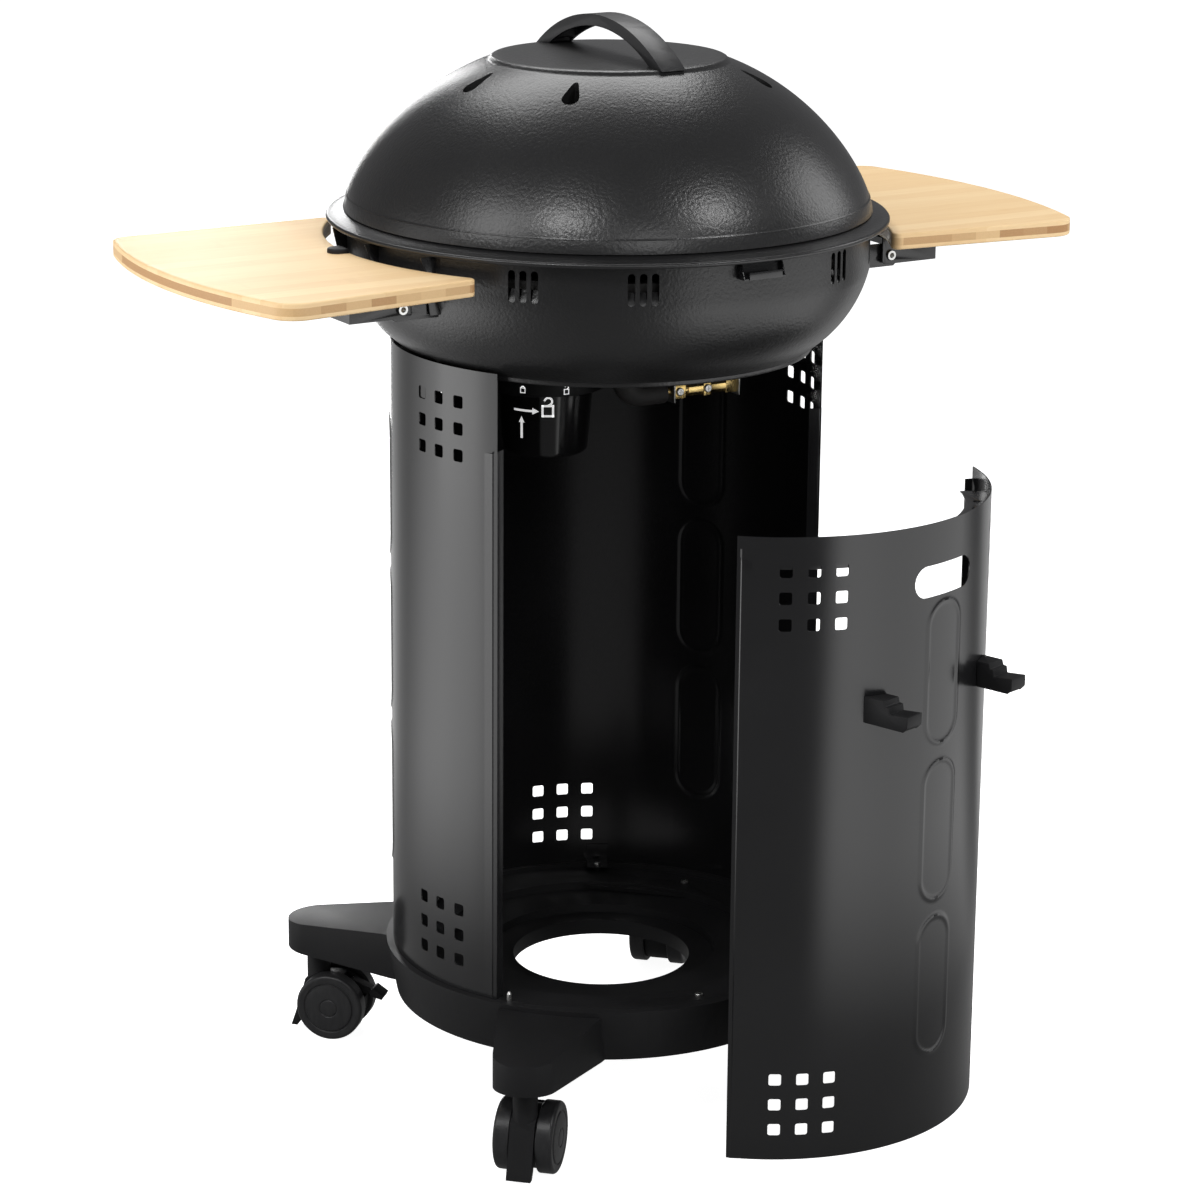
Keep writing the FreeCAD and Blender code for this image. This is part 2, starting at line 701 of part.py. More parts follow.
def table_bracket():
    """The folded bracket welded to the bowl: two ears for the hinge rivets, two ribs to the rim."""
    ear = arm_half_width - plate - 2.0
    parts = []
    for side in (-1, 1):
        y0, y1 = sorted((side * (ear - plate), side * ear))
        ear_plan = ((200, 809), (278, 809), (281, 812), (281, 829), (278, 832), (200, 832))
        parts.append(slab_xz(y0, y1, *ear_plan))
        y0, y1 = sorted((side * (arm_half_width - plate), side * arm_half_width))
        parts.append(slab_xz(y0, y1, (200, arm_bottom), (243, arm_bottom), (246, 838), (200, 838)))
        y0, y1 = sorted((side * ear, side * (arm_half_width - plate)))
        parts.append(box(238, 243, y0, y1, 814, 836))
        y0, y1 = sorted((side * (arm_half_width - plate - 1), side * (arm_half_width - plate + 1)))
        parts.append(slab_xz(y0, y1, (200, 830), (246, 830), (246, 842), (252, 866), (200, 866)))
    parts.append(box(200, 258, -ear, ear, 809, 811))
    parts.append(slab_xz(-6, -4, (200, 809), (256, 809), (256, 842), (266, 866), (200, 866)))
    bracket = joined(*parts)
    bracket = bracket.cut(bowl_outer())
    return bracket.cut(rod(V(hinge_x, -100, hinge_z), V(hinge_x, 100, hinge_z), axle_radius))


def hinge_rivets():
    rivets = []
    ear = arm_half_width - plate - 2.0

    def along(y0, y1, radius):
        return rod(V(hinge_x, y0, hinge_z), V(hinge_x, y1, hinge_z), radius)

    for side in (-1, 1):
        shank = along(side * (ear - plate - 1.5), side * (arm_half_width + 0.4), axle_radius)
        head = along(side * (arm_half_width + 0.3), side * (arm_half_width + 2.2), rivet_head_radius)
        tail = along(side * (ear - plate - 1.8), side * (ear - plate), 6.5)
        well = along(side * (arm_half_width - 4), side * (arm_half_width + 3), 2.6)
        rivets.append(joined(shank, head, tail).cut(well))
    return Part.makeCompound(rivets)


def table_screws():
    heads = []
    for x in (283, 312):
        for y in (-62, 0, 62):
            heads.append(pan_head(V(x, y, board_top - board_thickness - plate), V(0, 0, -1), 4.0, 2.3))
    return Part.makeCompound(heads)


def table_catch():
    """A small rounded finger tab on the inner edge of the board."""
    tab = catch_plan(273.5, board_top - catch_seat, board_top + 4.5)
    return tab.makeChamfer(1.2, [e for e in tab.Edges if e.BoundBox.ZMin > board_top + 4.4])


# ---- lid ----------------------------------------------------------------
def lid_profile(inset, low):
    edge = lid_edge_radius - inset
    disc = lid_disc_radius - inset * 0.3
    return [
        (edge, lid_edge + 6),
        ((241.0 - inset * 0.8, 921 - inset * 0.6), (196.6 - inset * 0.6, 972 - inset * 0.8)),
        ((161.6 - inset * 0.5, 998 - inset * 0.85), (disc + 2.0, 1019.6 - inset * 0.95)),
        (disc, 1022.2 - inset), ((70.0, 1025.4 - inset), (0.0, lid_crown - inset)), (0.0, low),
    ]


def lid_outer():
    return revolved((lid_edge_radius, lid_edge), *lid_profile(0.0, lid_edge))


def lid_shell():
    core = revolved((lid_edge_radius - lid_sheet, lid_edge - 10), *lid_profile(lid_sheet, lid_edge - 10))
    shell = lid_outer().cut(core)
    skirt = revolved((245.6, 871), (247.0, 871), (247.0, 888), (251.5, 892), (250.2, 893.4), (245.6, 889))
    shell = joined(shell, skirt)
    vents = []
    for azimuth in (-135, -90, -45, 45, 90, 135):
        drop = slab_xy(
            980, 1040, (-7.4, -150.0), (-1.6, -127.6), ((0.0, -126.4), (1.6, -127.6)), (7.4, -150.0),
            ((0.0, -158.0), (-7.4, -150.0)),
        )
        vents.append(turned(drop, azimuth))
    screws = [post(2.2, 1000, 1040, 0, y) for y in (-handle_screw_y, handle_screw_y)]
    return cut_all(shell, vents + screws)


def lid_handle():
    """An arched grip, open underneath, with cross ribs near its two feet."""
    half_width = 13.0
    arch = slab_yz(
        -half_width, half_width, (-116, 1016), (-115.2, 1022), ((0, 1062), (115.2, 1022)), (116, 1016),
        (96, 1016), (95, 1022), ((0, 1051), (-95, 1022)), (-96, 1016),
    )
    hollow = slab_yz(
        -half_width + 3, half_width - 3, (-110, 1016), (-107.5, 1021), ((0, 1058.5), (107.5, 1021)),
        (110, 1016),
    )
    grip = arch.cut(hollow)
    ribs = []
    for y in (-104, -98, -90, -80, 80, 90, 98, 104):
        ribs.append(box(-half_width + 2, half_width - 2, y - 1.2, y + 1.2, 1016, 1066).common(arch))
    ends = (-handle_screw_y, handle_screw_y)
    bosses = [post(5.0, 1016, 1060, 0, y).common(arch) for y in ends]
    grip = joined(grip, *ribs, *bosses)
    grip = grip.cut(lid_outer())
    return grip.cut(Part.makeCompound([post(2.2, 1000, handle_screw_top, 0, y) for y in ends]))


def lid_handle_screws():
    screws = []
    for y in (-handle_screw_y, handle_screw_y):
        head = pan_head(V(0, y, 1021.2), V(0, 0, -1), 5.0, 2.6)
        shank = post(2.2, 1020.5, handle_screw_top - 0.2, 0, y)
        screws.append(joined(head, shank))
    return Part.makeCompound(screws)


# ---- loose front panel --------------------------------------------------
def stood(shape):
    """Put a piece of the front panel where the panel stands on the floor, beside the cabinet."""
    return moved(turned(moved(shape, 0, 0, -panel_bottom), front_panel_turn), *front_panel_place)


def front_panel_sheet():
    wall = cabinet_panel(-60, 60)
    slot = rounded_prism(85.0, 31.0, 15.4, -cabinet_radius - 6, -cabinet_radius + 8)
    wall = wall.cut(moved(slot, 0, 0, panel_top - 56))
    returns = [edge_return(60 * side, -side, panel_bottom, panel_top - 12, 9.0) for side in (-1, 1)]
    return stood(joined(wall, *returns))


def front_panel_brace():
    inside = cabinet_radius - panel_sheet
    top = panel_top - 15
    shelf = curved_wall(inside, 24.0, top - 1.5, top, -50, 50)
    collar = curved_wall(inside, 1.5, top - 16, top, -50, 50)
    brace = joined(shelf, collar)
    holes = [post(3.2, top - 5, top + 5, *tuple(polar(196, a))[:2]) for a in (-38, -30, 30, 38)]
    return stood(cut_all(brace, holes))


def lid_hooks():
    """Two moulded hooks on the outside of the panel, stepped to hold the edge of the lid."""
    end = -hook_reach
    top = panel_bottom + 452
    half = hook_width / 2
    solid = slab_yz(
        -half, half, (end + 54, top - 16), (end + 5, top - 16), (end, top - 11), (end, top),
        (end + 21, top - 2), (end + 22, top + 4.2), (end + 26, top + 4.6), (end + 27.5, top + 9.6),
        (end + 54, top + 9.6),
    )
    relief = slab_yz(
        -half + 2.5, half - 2.5, (end + 38, top - 25), (end + 4, top - 25), (end + 4, top - 5),
        (end + 24, top - 6), (end + 31, top + 4), (end + 38, top + 4),
    )
    hook = solid.cut(relief)
    face = post(cabinet_radius + 0.02, 500, 700)
    return Part.makeCompound([stood(moved(hook, x, 0).cut(face)) for x in (-hook_offset, hook_offset)])


def lid_hook_screws():
    heads = []
    lean = math.degrees(math.asin(hook_offset / cabinet_radius))
    inside = cabinet_radius - panel_sheet - 0.03
    for azimuth in (-lean, lean):
        for z in (441, 457):
            heads.append(stood(pan_head(polar(inside, azimuth, panel_bottom + z), polar(-1, azimuth))))
    return Part.makeCompound(heads)


# ---- all nodes ----------------------------------------------------------
def all_nodes():
    nodes = {
        "base_moulding": base_moulding(),
        "base_screws": base_screws(),
        "locating_pins": locating_pins(),
        "caster_stems": Part.makeCompound([caster_place(caster_stem(), a) for a in leg_azimuths.values()]),
        "left_cabinet_panel": left_panel(),
        "right_cabinet_panel": right_panel(),
        "cabinet_seam_strip": seam_strip(),
        "panel_foot_brackets": foot_brackets(),
        "bowl_support_brackets": bowl_brackets(),
        "cabinet_screws": cabinet_screws(),
        "bowl": bowl(),
        "bowl_front_catch": bowl_front_catch(),
        "grid_rests": grid_rests(),
        "cooking_grid": cooking_grid(),
        "heat_spreader": heat_spreader(),
        "burner_ring": burner_ring(),
        "mixing_tube": mixing_tube(),
        "jet_bracket": jet_bracket(),
        "jet_block": jet_block(),
        "jet_screws": jet_screws(),
        "gas_hose_tail": hose_tail(),
        "drip_cup_collar": drip_collar(),
        "drip_cup": drip_cup(),
        "lid_shell": lid_shell(),
        "lid_handle": lid_handle(),
        "lid_handle_screws": lid_handle_screws(),
        "front_panel_sheet": front_panel_sheet(),
        "front_panel_brace": front_panel_brace(),
        "lid_hooks": lid_hooks(),
        "lid_hook_screws": lid_hook_screws(),
    }
    table = {
        "table_board": table_board(),
        "table_arm": table_arm(),
        "table_bracket": table_bracket(),
        "hinge_rivets": hinge_rivets(),
        "table_screws": table_screws(),
        "table_catch": table_catch(),
    }
    for name, shape in table.items():
        nodes["right_" + name] = shape
        nodes["left_" + name] = mirrored_x(shape)
    wheels, outer = caster_wheel_pair()
    caster = {
        "caster_body": caster_body(),
        "wheel_pair": wheels,
        "axle": caster_axle(outer - hub_cap - 0.3),
        "brake_pedal": brake_pedal(),
    }
    for corner, azimuth in leg_azimuths.items():
        for name, shape in caster.items():
            nodes[corner + "_" + name] = caster_place(shape, azimuth)
    return nodes


os.makedirs("parts", exist_ok=True)
for node, shape in all_nodes().items():
    solids = shape.Solids
    whole = solids[0] if len(solids) == 1 else Part.makeCompound(solids)
    whole.exportStep(os.path.join("parts", node + ".step"))
    state = "valid" if whole.isValid() else "NOT VALID"
    print(node, len(solids), "solid(s)", state, round(whole.Volume), "mm3")
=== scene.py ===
import json
import math

import bmesh
import bpy
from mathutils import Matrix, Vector


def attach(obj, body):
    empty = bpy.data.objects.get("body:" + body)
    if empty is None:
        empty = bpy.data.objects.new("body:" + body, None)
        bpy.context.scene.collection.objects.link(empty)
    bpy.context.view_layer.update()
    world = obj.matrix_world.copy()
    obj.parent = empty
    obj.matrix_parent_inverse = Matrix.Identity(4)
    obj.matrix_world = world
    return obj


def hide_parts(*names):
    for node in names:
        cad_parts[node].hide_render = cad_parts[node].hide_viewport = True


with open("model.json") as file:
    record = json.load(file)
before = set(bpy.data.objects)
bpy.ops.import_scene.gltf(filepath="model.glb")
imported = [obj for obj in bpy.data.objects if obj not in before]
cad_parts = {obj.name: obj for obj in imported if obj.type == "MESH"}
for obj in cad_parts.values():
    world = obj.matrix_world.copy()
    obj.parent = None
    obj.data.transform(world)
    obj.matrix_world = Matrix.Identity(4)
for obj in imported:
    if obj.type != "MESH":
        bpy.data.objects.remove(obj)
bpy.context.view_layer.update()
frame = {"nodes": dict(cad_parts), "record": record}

# ---- studio -------------------------------------------------------------
# The barbecue stands on a pale sweep in a studio, lit by soft boxes. Large ones stand at the left, the right
# and the front, and one hangs over the back. A narrow one behind lights the edges, and two small ones hang
# high in front for the lid.

scene = bpy.context.scene
scene.view_settings.view_transform = "Standard"


def polar(radius, azimuth, height):
    """A point at an azimuth in degrees, counted from the front (-Y) towards the right (+X)."""
    angle = math.radians(azimuth)
    return Vector((radius * math.sin(angle), -radius * math.cos(angle), height))


lens_camera = bpy.data.cameras.new("camera")
lens_camera.lens = 114.456
lens_camera.clip_end = 50
camera = bpy.data.objects.new("camera", lens_camera)
camera.location = (-1.8900, -3.0863, 1.5253)
camera.rotation_euler = [math.radians(turn) for turn in (73.9707, -0.4812, -31.2781)]
scene.collection.objects.link(camera)
scene.camera = camera


def soft_box(name, place, aim, width, height, watts):
    light = bpy.data.lights.new(name, "AREA")
    light.shape = "RECTANGLE"
    light.size = width
    light.size_y = height
    light.energy = watts
    lamp = bpy.data.objects.new(name, light)
    lamp.location = place
    lamp.rotation_mode = "QUATERNION"
    lamp.rotation_quaternion = (Vector(aim) - Vector(place)).to_track_quat("-Z", "Y")
    scene.collection.objects.link(lamp)


middle = (0.0, 0.0, 0.6)
lid_middle = (0.0, 0.0, 0.92)
soft_box("key_box", polar(2.6, -85, 2.3), (0.0, 0.0, 0.8), 1.3, 1.3, 26)
soft_box("left_box", polar(2.6, -113, 0.7), middle, 1.3, 2.0, 8)
soft_box("edge_box", polar(2.4, 165, 0.7), middle, 0.25, 2.0, 12)
soft_box("right_box", polar(2.8, 80, 1.9), (0.0, 0.0, 0.9), 1.3, 1.3, 17)
soft_box("top_box", (0.5, 1.2, 2.7), (0.0, 0.0, 1.0), 1.8, 1.2, 30)
soft_box("lid_box_left", polar(2.5, -52, 2.85), lid_middle, 0.55, 0.55, 27)
soft_box("lid_box_right", polar(2.5, 22, 2.85), lid_middle, 0.55, 0.55, 23)
soft_box("front_box", polar(4.2, -12, 2.6), middle, 1.8, 1.2, 26)

world = bpy.data.worlds.new("studio")
scene.world = world
world.use_nodes = True
sky = world.node_tree
ray = sky.nodes.new("ShaderNodeLightPath")
seen = sky.nodes.new("ShaderNodeBackground")
seen.inputs["Color"].default_value = (1, 1, 1, 1)
lighting = sky.nodes["Background"]
lighting.inputs["Color"].default_value = (0.18, 0.18, 0.185, 1)
either = sky.nodes.new("ShaderNodeMixShader")
sky.links.new(ray.outputs["Is Camera Ray"], either.inputs["Fac"])
sky.links.new(lighting.outputs["Background"], either.inputs[1])
sky.links.new(seen.outputs["Background"], either.inputs[2])
sky.links.new(either.outputs["Shader"], sky.nodes["World Output"].inputs["Surface"])


class Shade:
    """One output in a material. Sums and products of shades add their own Math nodes."""

    def __init__(self, tree, socket):
        self.tree = tree
        self.socket = socket

    def add(self, kind, settings=(), sockets=(), output=0):
        """Adds a node: its settings, or a ramp's stops, first, then the values or links of its sockets."""
        node = self.tree.nodes.new(kind)
        for name, value in dict(settings).items():
            if name != "stops":
                setattr(node, name, value)
                continue
            while len(node.color_ramp.elements) < len(value):
                node.color_ramp.elements.new(0.5)
            for element, (position, colour) in zip(node.color_ramp.elements, value):
                element.position = position
                element.color = (*colour, 1)
        for name, value in dict(sockets).items():
            if isinstance(value, Shade):
                self.tree.links.new(value.socket, node.inputs[name])
            else:
                node.inputs[name].default_value = value
        return Shade(self.tree, node.outputs[output])

    def maths(self, operation, first, second=0.0):
        return self.add("ShaderNodeMath", {"operation": operation}, {0: first, 1: second})

    def __add__(self, other):
        return self.maths("ADD", self, other)

    def __radd__(self, other):
        return self.maths("ADD", other, self)

    def __sub__(self, other):
        return self.maths("SUBTRACT", self, other)

    def __rsub__(self, other):
        return self.maths("SUBTRACT", other, self)

    def __mul__(self, other):
        return self.maths("MULTIPLY", self, other)

    def __rmul__(self, other):
        return self.maths("MULTIPLY", other, self)

    def __gt__(self, other):
        return self.maths("GREATER_THAN", self, other)

    def __lt__(self, other):
        return self.maths("LESS_THAN", self, other)

    def power(self, other):
        return self.maths("POWER", self, other)

    def floor(self):
        return self.maths("FLOOR", self)

    def held(self):
        """Kept between 0 and 1."""
        return self.add("ShaderNodeMath", {"operation": "ADD", "use_clamp": True}, {0: self, 1: 0.0})

    def scaled(self, x, y, z):
        """A place, stretched along the axes."""
        return self.add("ShaderNodeVectorMath", {"operation": "MULTIPLY"}, {0: self, 1: (x, y, z)})

    def part(self, axis):
        return self.add("ShaderNodeSeparateXYZ", (), {0: self}, output=axis)

    def noise(self, scale, detail=3.0, roughness=0.55):
        sockets = {"Vector": self, "Scale": scale, "Detail": detail, "Roughness": roughness}
        return self.add("ShaderNodeTexNoise", (), sockets)

    def cells(self, scale):
        sockets = {"Vector": self, "Scale": scale}
        return self.add("ShaderNodeTexVoronoi", {"feature": "SMOOTH_F1"}, sockets)

    def between(self, low, high):
        """Two colours mixed by this shade."""
        ends = [end if isinstance(end, Shade) else (*end, 1) for end in (low, high)]
        return self.add("ShaderNodeMix", {"data_type": "RGBA"}, {0: self, 6: ends[0], 7: ends[1]}, output=2)

    def bump(self, distance, strength=1.0):
        sockets = {"Height": self, "Distance": distance, "Strength": strength}
        return self.add("ShaderNodeBump", (), sockets)


def finish(name, recipe, **fixed):
    """A material: the recipe feeds the sockets that vary, and fixed values go on the shader's own sockets."""
    material = bpy.data.materials.new(name)
    material.use_nodes = True
    tree = material.node_tree
    surface = tree.nodes["Principled BSDF"]
    for socket, value in fixed.items():
        surface.inputs[socket.replace("_", " ")].default_value = value
    place = Shade(tree, None).add("ShaderNodeTexCoord", output=3)
    for socket, value in recipe(place).items():
        tree.links.new(value.socket, surface.inputs[socket])
    return material


floor_glow = 2.5
dark_reach = 0.64
# What the sheets mirror from the floor, as (azimuth in degrees, brightness).
mirror_bands = (
    (-180, 0.60), (-168, 0.36), (-156, 0.33), (-146, 0.8), (-134, 1.7), (-120, 2.4), (-100, 2.5), (-88, 1.6),
    (-75, 0.4), (-62, 0.05), (-5, 0.06), (4, 1.9), (14, 1.8), (30, 1.5), (55, 1.35), (78, 1.05), (86, 0.25),
    (92, 0.07), (98, 0.07), (106, 0.5), (120, 0.5), (130, 0.3), (150, 0.4), (180, 0.60),
)


def sweep_recipe(place):
    """Evenly pale to look at, while glossy sheets mirror it as pale and dark bands, dark near the object."""
    cloud = place.noise(1.3)
    tone = cloud.between((0.86, 0.86, 0.86), (0.90, 0.90, 0.90))
    glow = cloud.between((0.37, 0.37, 0.37), (0.385, 0.385, 0.385))
    direct = place.add("ShaderNodeLightPath")
    x, y = place.part(0), place.part(1)
    azimuth = place.maths("ARCTAN2", x, 0 - y) * (0.5 / math.pi) + 0.5
    stops = [((turn + 180) / 360, (bright / floor_glow,) * 3) for turn, bright in mirror_bands]
    bands = place.add("ShaderNodeValToRGB", {"stops": stops}, {"Fac": azimuth})
    far = place.maths("SQRT", x * x + y * y)
    clear = ((far - dark_reach) * 1.9).held()
    return {
        "Base Color": direct.between((0.15, 0.15, 0.15), tone),
        "Emission Color": direct.between(clear.between((0.055, 0.055, 0.055), bands), glow),
    }


def flat_square(name, half_width, height):
    mesh = bpy.data.meshes.new(name)
    corners = [(x * half_width, y * half_width, height) for x, y in ((-1, -1), (1, -1), (1, 1), (-1, 1))]
    mesh.from_pydata(corners, [], [(0, 1, 2, 3)])
    plane = bpy.data.objects.new(name, mesh)
    scene.collection.objects.link(plane)
    return plane


pale_floor = finish("pale_floor", sweep_recipe, Roughness=0.9, Emission_Strength=floor_glow)
floor = flat_square("studio_floor", 12.0, -0.0005)
floor.data.materials.append(pale_floor)

# ---- cabinet panels -----------------------------------------------------
# Three rolled steel sheets, each a third of the cabinet, powder coated glossy black inside and out. Square
# air holes are punched near the corners, long loops are pressed into the middle, and the edges beside the
# opening are folded in.

cabinet_radius = 0.210
sheet = 0.0012
panel_low = 0.136
panel_high = 0.754
bead_half_width = 0.0235
bead_half_length = 0.0700
bead_height = 0.0011
bead_spread = 0.0034
bead_centres = (0.290, 0.448, 0.606)
hole_side = 0.012
hole_insets = (12.43, 19.66, 26.88)
hole_heights = (0.7214, 0.6957, 0.6701, 0.2182, 0.1926, 0.1669)
fold_bend = 0.0022
body_of = {node: body for body, nodes in frame["record"]["behaviour"]["bodies"].items() for node in nodes}


def gloss_coat_recipe(place):
    """Powder coat: a faint orange peel, and a little dust and handling in the gloss."""
    peel = place.noise(420, 2.0)
    haze = place.noise(9, 5.0)
    specks = (place.noise(900, 1.0) > 0.72).held()
    return {
        "Base Color": (haze * 0.7 + specks * 0.25).between((0.0065, 0.0065, 0.007), (0.014, 0.014, 0.015)),
        "Roughness": haze * 0.10 + 0.155,
        "Normal": peel.bump(0.00006, 0.5),
    }


gloss_black = finish("gloss_black_coat", gloss_coat_recipe, Specular_IOR_Level=0.55)


def coated(mesh, material, crease=32.0):
    """Gives a mesh its finish and smooths it up to an angle in degrees."""
    mesh.materials.clear()
    mesh.materials.append(material)
    mesh.shade_smooth()
    mesh.set_sharp_from_angle(angle=math.radians(crease))
    return mesh


def riding(name, mesh, body):
    """Puts a mesh in the scene, moving with a body."""
    piece = bpy.data.objects.new(name, mesh)
    scene.collection.objects.link(piece)
    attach(piece, body)
    return piece


def named_piece(name, mesh, material, node):
    """Puts a finished mesh in the scene in place of a CAD node, riding on that node's body."""
    piece = riding(name, coated(mesh, material), body_of[node])
    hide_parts(node)


def mesh_of(name, bm):
    mesh = bpy.data.meshes.new(name)
    bmesh.ops.recalc_face_normals(bm, faces=bm.faces)
    bm.to_mesh(mesh)
    bm.free()
    return mesh


def worked(mesh, *steps):
    """Runs modifiers over a mesh, each given as a type and its settings, and returns the result."""
    holder = bpy.data.objects.new("holder", mesh)
    scene.collection.objects.link(holder)
    for kind, settings in steps:
        modifier = holder.modifiers.new(kind, kind)
        for name, value in settings.items():
            setattr(modifier, name, value)
    ready = holder.evaluated_get(bpy.context.evaluated_depsgraph_get())
    result = bpy.data.meshes.new_from_object(ready)
    bpy.data.objects.remove(holder)
    return result


def cut_out(mesh, tool_mesh):
    """The mesh with everything inside the tool taken away."""
    tool = bpy.data.objects.new("tool", tool_mesh)
    scene.collection.objects.link(tool)
    result = worked(mesh, ("BOOLEAN", {"operation": "DIFFERENCE", "solver": "EXACT", "object": tool}))
    bpy.data.objects.remove(tool)
    return result


def add_prism(bm, ring, near, far, place):
    """A closed prism: a ring of (across, up) points carried from depth near to depth far by place()."""
    loops = [[bm.verts.new(place(u, v, depth)) for u, v in ring] for depth in (near, far)]
    count = len(ring)
    for k in range(count):
        bm.faces.new((loops[0][k], loops[0][(k + 1) % count], loops[1][(k + 1) % count], loops[1][k]))
    bm.faces.new(loops[0][::-1])
    bm.faces.new(loops[1])


def facing(azimuth, sideways, outwards, upwards, height=0.0):
    """A place() for a prism at an azimuth: the numbers say which of (across, up, depth) goes which way."""
    side = polar(1, azimuth + 90, 0)
    out = polar(1, azimuth, 0)

    def place(*point):
        return out * point[outwards] + side * point[sideways] + Vector((0, 0, height + point[upwards]))

    return place


def rounded_ring(width, height, corner, steps):
    """A rounded rectangle about the origin, as a ring of points."""
    ring = []
    for quarter, (sx, sy) in enumerate(((1, 1), (-1, 1), (-1, -1), (1, -1))):
        for k in range(steps + 1):
            angle = math.radians(90 * (quarter + k / steps))
            across = sx * (width / 2 - corner) + corner * math.cos(angle)
            ring.append((across, sy * (height / 2 - corner) + corner * math.sin(angle)))
    return ring


def bead_lift(across, up):
    """How far the sheet is pressed out at a point: a soft ridge along three long loops."""
    straight = bead_half_length - bead_half_width
    lift = 0.0
    for centre in bead_centres:
        beyond = max(abs(up - centre) - straight, 0.0)
        off = abs(math.hypot(across, beyond) - bead_half_width) / bead_spread
        if off < 1:
            lift = max(lift, bead_height * (1 - off * off) ** 2)
    return lift


def stations(low, high, rough, fine, zones):
    """Positions from low to high: rough steps, with fine ones inside the zones."""
    marks = [low]
    while marks[-1] < high - 1e-9:
        here = marks[-1]
        step = fine if any(a - 1e-9 <= here < b - 1e-9 for a, b in zones) else rough
        stops = [edge for zone in zones for edge in zone if here + 1e-6 < edge < here + step]
        marks.append(min(stops + [here + step, high]))
    return marks


def panel_mesh(name, first, last, folds, finger_slot=False):
    """One panel at its place in the cabinet. A fold is (edge: 0 first or 1 last, top height, depth)."""
    centre = (first + last) / 2
    reach = math.degrees((bead_half_width + bead_spread) / cabinet_radius)
    across = stations(first, last, 2.5, 0.42, [(centre - reach - 0.4, centre + reach + 0.4)])
    ends = []  # the rows are closer together where the loops turn
    for loop in bead_centres:
        ends += [(loop - 0.076, loop - 0.040), (loop + 0.040, loop + 0.076)]
    rows = stations(panel_low, panel_high, 0.012, 0.0020, ends)
    bm = bmesh.new()
    grid = []
    for azimuth in across:
        column = []
        for z in rows:
            arc = math.radians(azimuth - centre) * cabinet_radius
            column.append(bm.verts.new(polar(cabinet_radius + bead_lift(arc, z), azimuth, z)))
        grid.append(column)
    for left, right in zip(grid, grid[1:]):
        for k in range(len(rows) - 1):
            bm.faces.new((left[k], right[k], right[k + 1], left[k + 1]))
    for edge, top, depth in folds:
        column = grid[-1] if edge else grid[0]
        azimuth = last if edge else first
        inwards = -polar(1, azimuth, 0)
        back = polar(1, azimuth + (-90 if edge else 90), 0)
        shifts = []
        for turn in (22.5, 45, 67.5, 90):
            angle = math.radians(turn)
            shift = inwards * fold_bend * (1 - math.cos(angle))
            shifts.append(shift + back * fold_bend * (1 - math.sin(angle)))
        shifts.append(inwards * depth)
        for shift in shifts:
            new = []
            for z in rows:
                new.append(bm.verts.new(polar(cabinet_radius, azimuth, z) + shift) if z <= top else None)
            for k in range(len(rows) - 1):
                if new[k] and new[k + 1] and column[k] and column[k + 1]:
                    bm.faces.new((column[k], new[k], new[k + 1], column[k + 1]))
            column = new
    bmesh.ops.remove_doubles(bm, verts=bm.verts, dist=0.00005)
    skin = mesh_of(name, bm)
    solid = worked(skin, ("SOLIDIFY", {"thickness": sheet, "offset": -1.0, "use_even_offset": True}))
    holes = bmesh.new()
    square = rounded_ring(hole_side, hole_side, 0.0022, 4)
    inside = cabinet_radius - 0.01
    outside = cabinet_radius + 0.01
    for inset in hole_insets:
        for azimuth in (first + inset, last - inset):
            for z in hole_heights:
                add_prism(holes, square, inside, outside, facing(azimuth, 0, 2, 1, z))
    if finger_slot:
        stadium = rounded_ring(0.085, 0.031, 0.0154, 10)
        add_prism(holes, stadium, cabinet_radius - 0.02, outside, facing(centre, 0, 2, 1, panel_high - 0.056))
    return cut_out(solid, mesh_of("holes", holes))


seam = 0.08
side_folds = {"left": [(1, 0.681, 0.012)], "right": [(0, 0.681, 0.012)]}
for side, (first, last) in {"left": (-180, -60), "right": (60, 180)}.items():
    wall = panel_mesh(side + "_panel", first + seam, last - seam, side_folds[side])
    named_piece(side + "_panel", wall, gloss_black, side + "_cabinet_panel")

# ---- loose front panel --------------------------------------------------
# The third sheet, taken off and stood on the floor to the right. It has a finger slot, a black coated brace
# screwed inside its top edge and two moulded hooks that hold the lid while the food is turned.

stood_centre = Vector((0.1189, -0.1182, -panel_low))
stood_turn = math.radians(17.0)
door_folds = [(0, 0.742, 0.009), (1, 0.742, 0.009)]
door = panel_mesh("front_panel", -60 + seam, 60 - seam, door_folds, finger_slot=True)
for vertex in door.vertices:
    x, y, z = vertex.co
    turned_x = x * math.cos(stood_turn) - y * math.sin(stood_turn)
    turned_y = x * math.sin(stood_turn) + y * math.cos(stood_turn)
    vertex.co = Vector((turned_x, turned_y, z)) + stood_centre
named_piece("front_panel", door, gloss_black, "front_panel_sheet")


def plastic_recipe(place):
    """Moulded nylon: a fine spark-eroded grain, slightly polished where hands and feet rub it."""
    grain = place.noise(1500, 2.0)
    cloud = place.noise(14, 4.0)
    return {
        "Base Color": cloud.between((0.010, 0.010, 0.0105), (0.017, 0.017, 0.018)),
        "Roughness": cloud * 0.14 + grain * 0.10 + 0.36,
        "Normal": grain.bump(0.00005, 0.55),
    }


moulded_black = finish("moulded_black", plastic_recipe, Specular_IOR_Level=0.18)


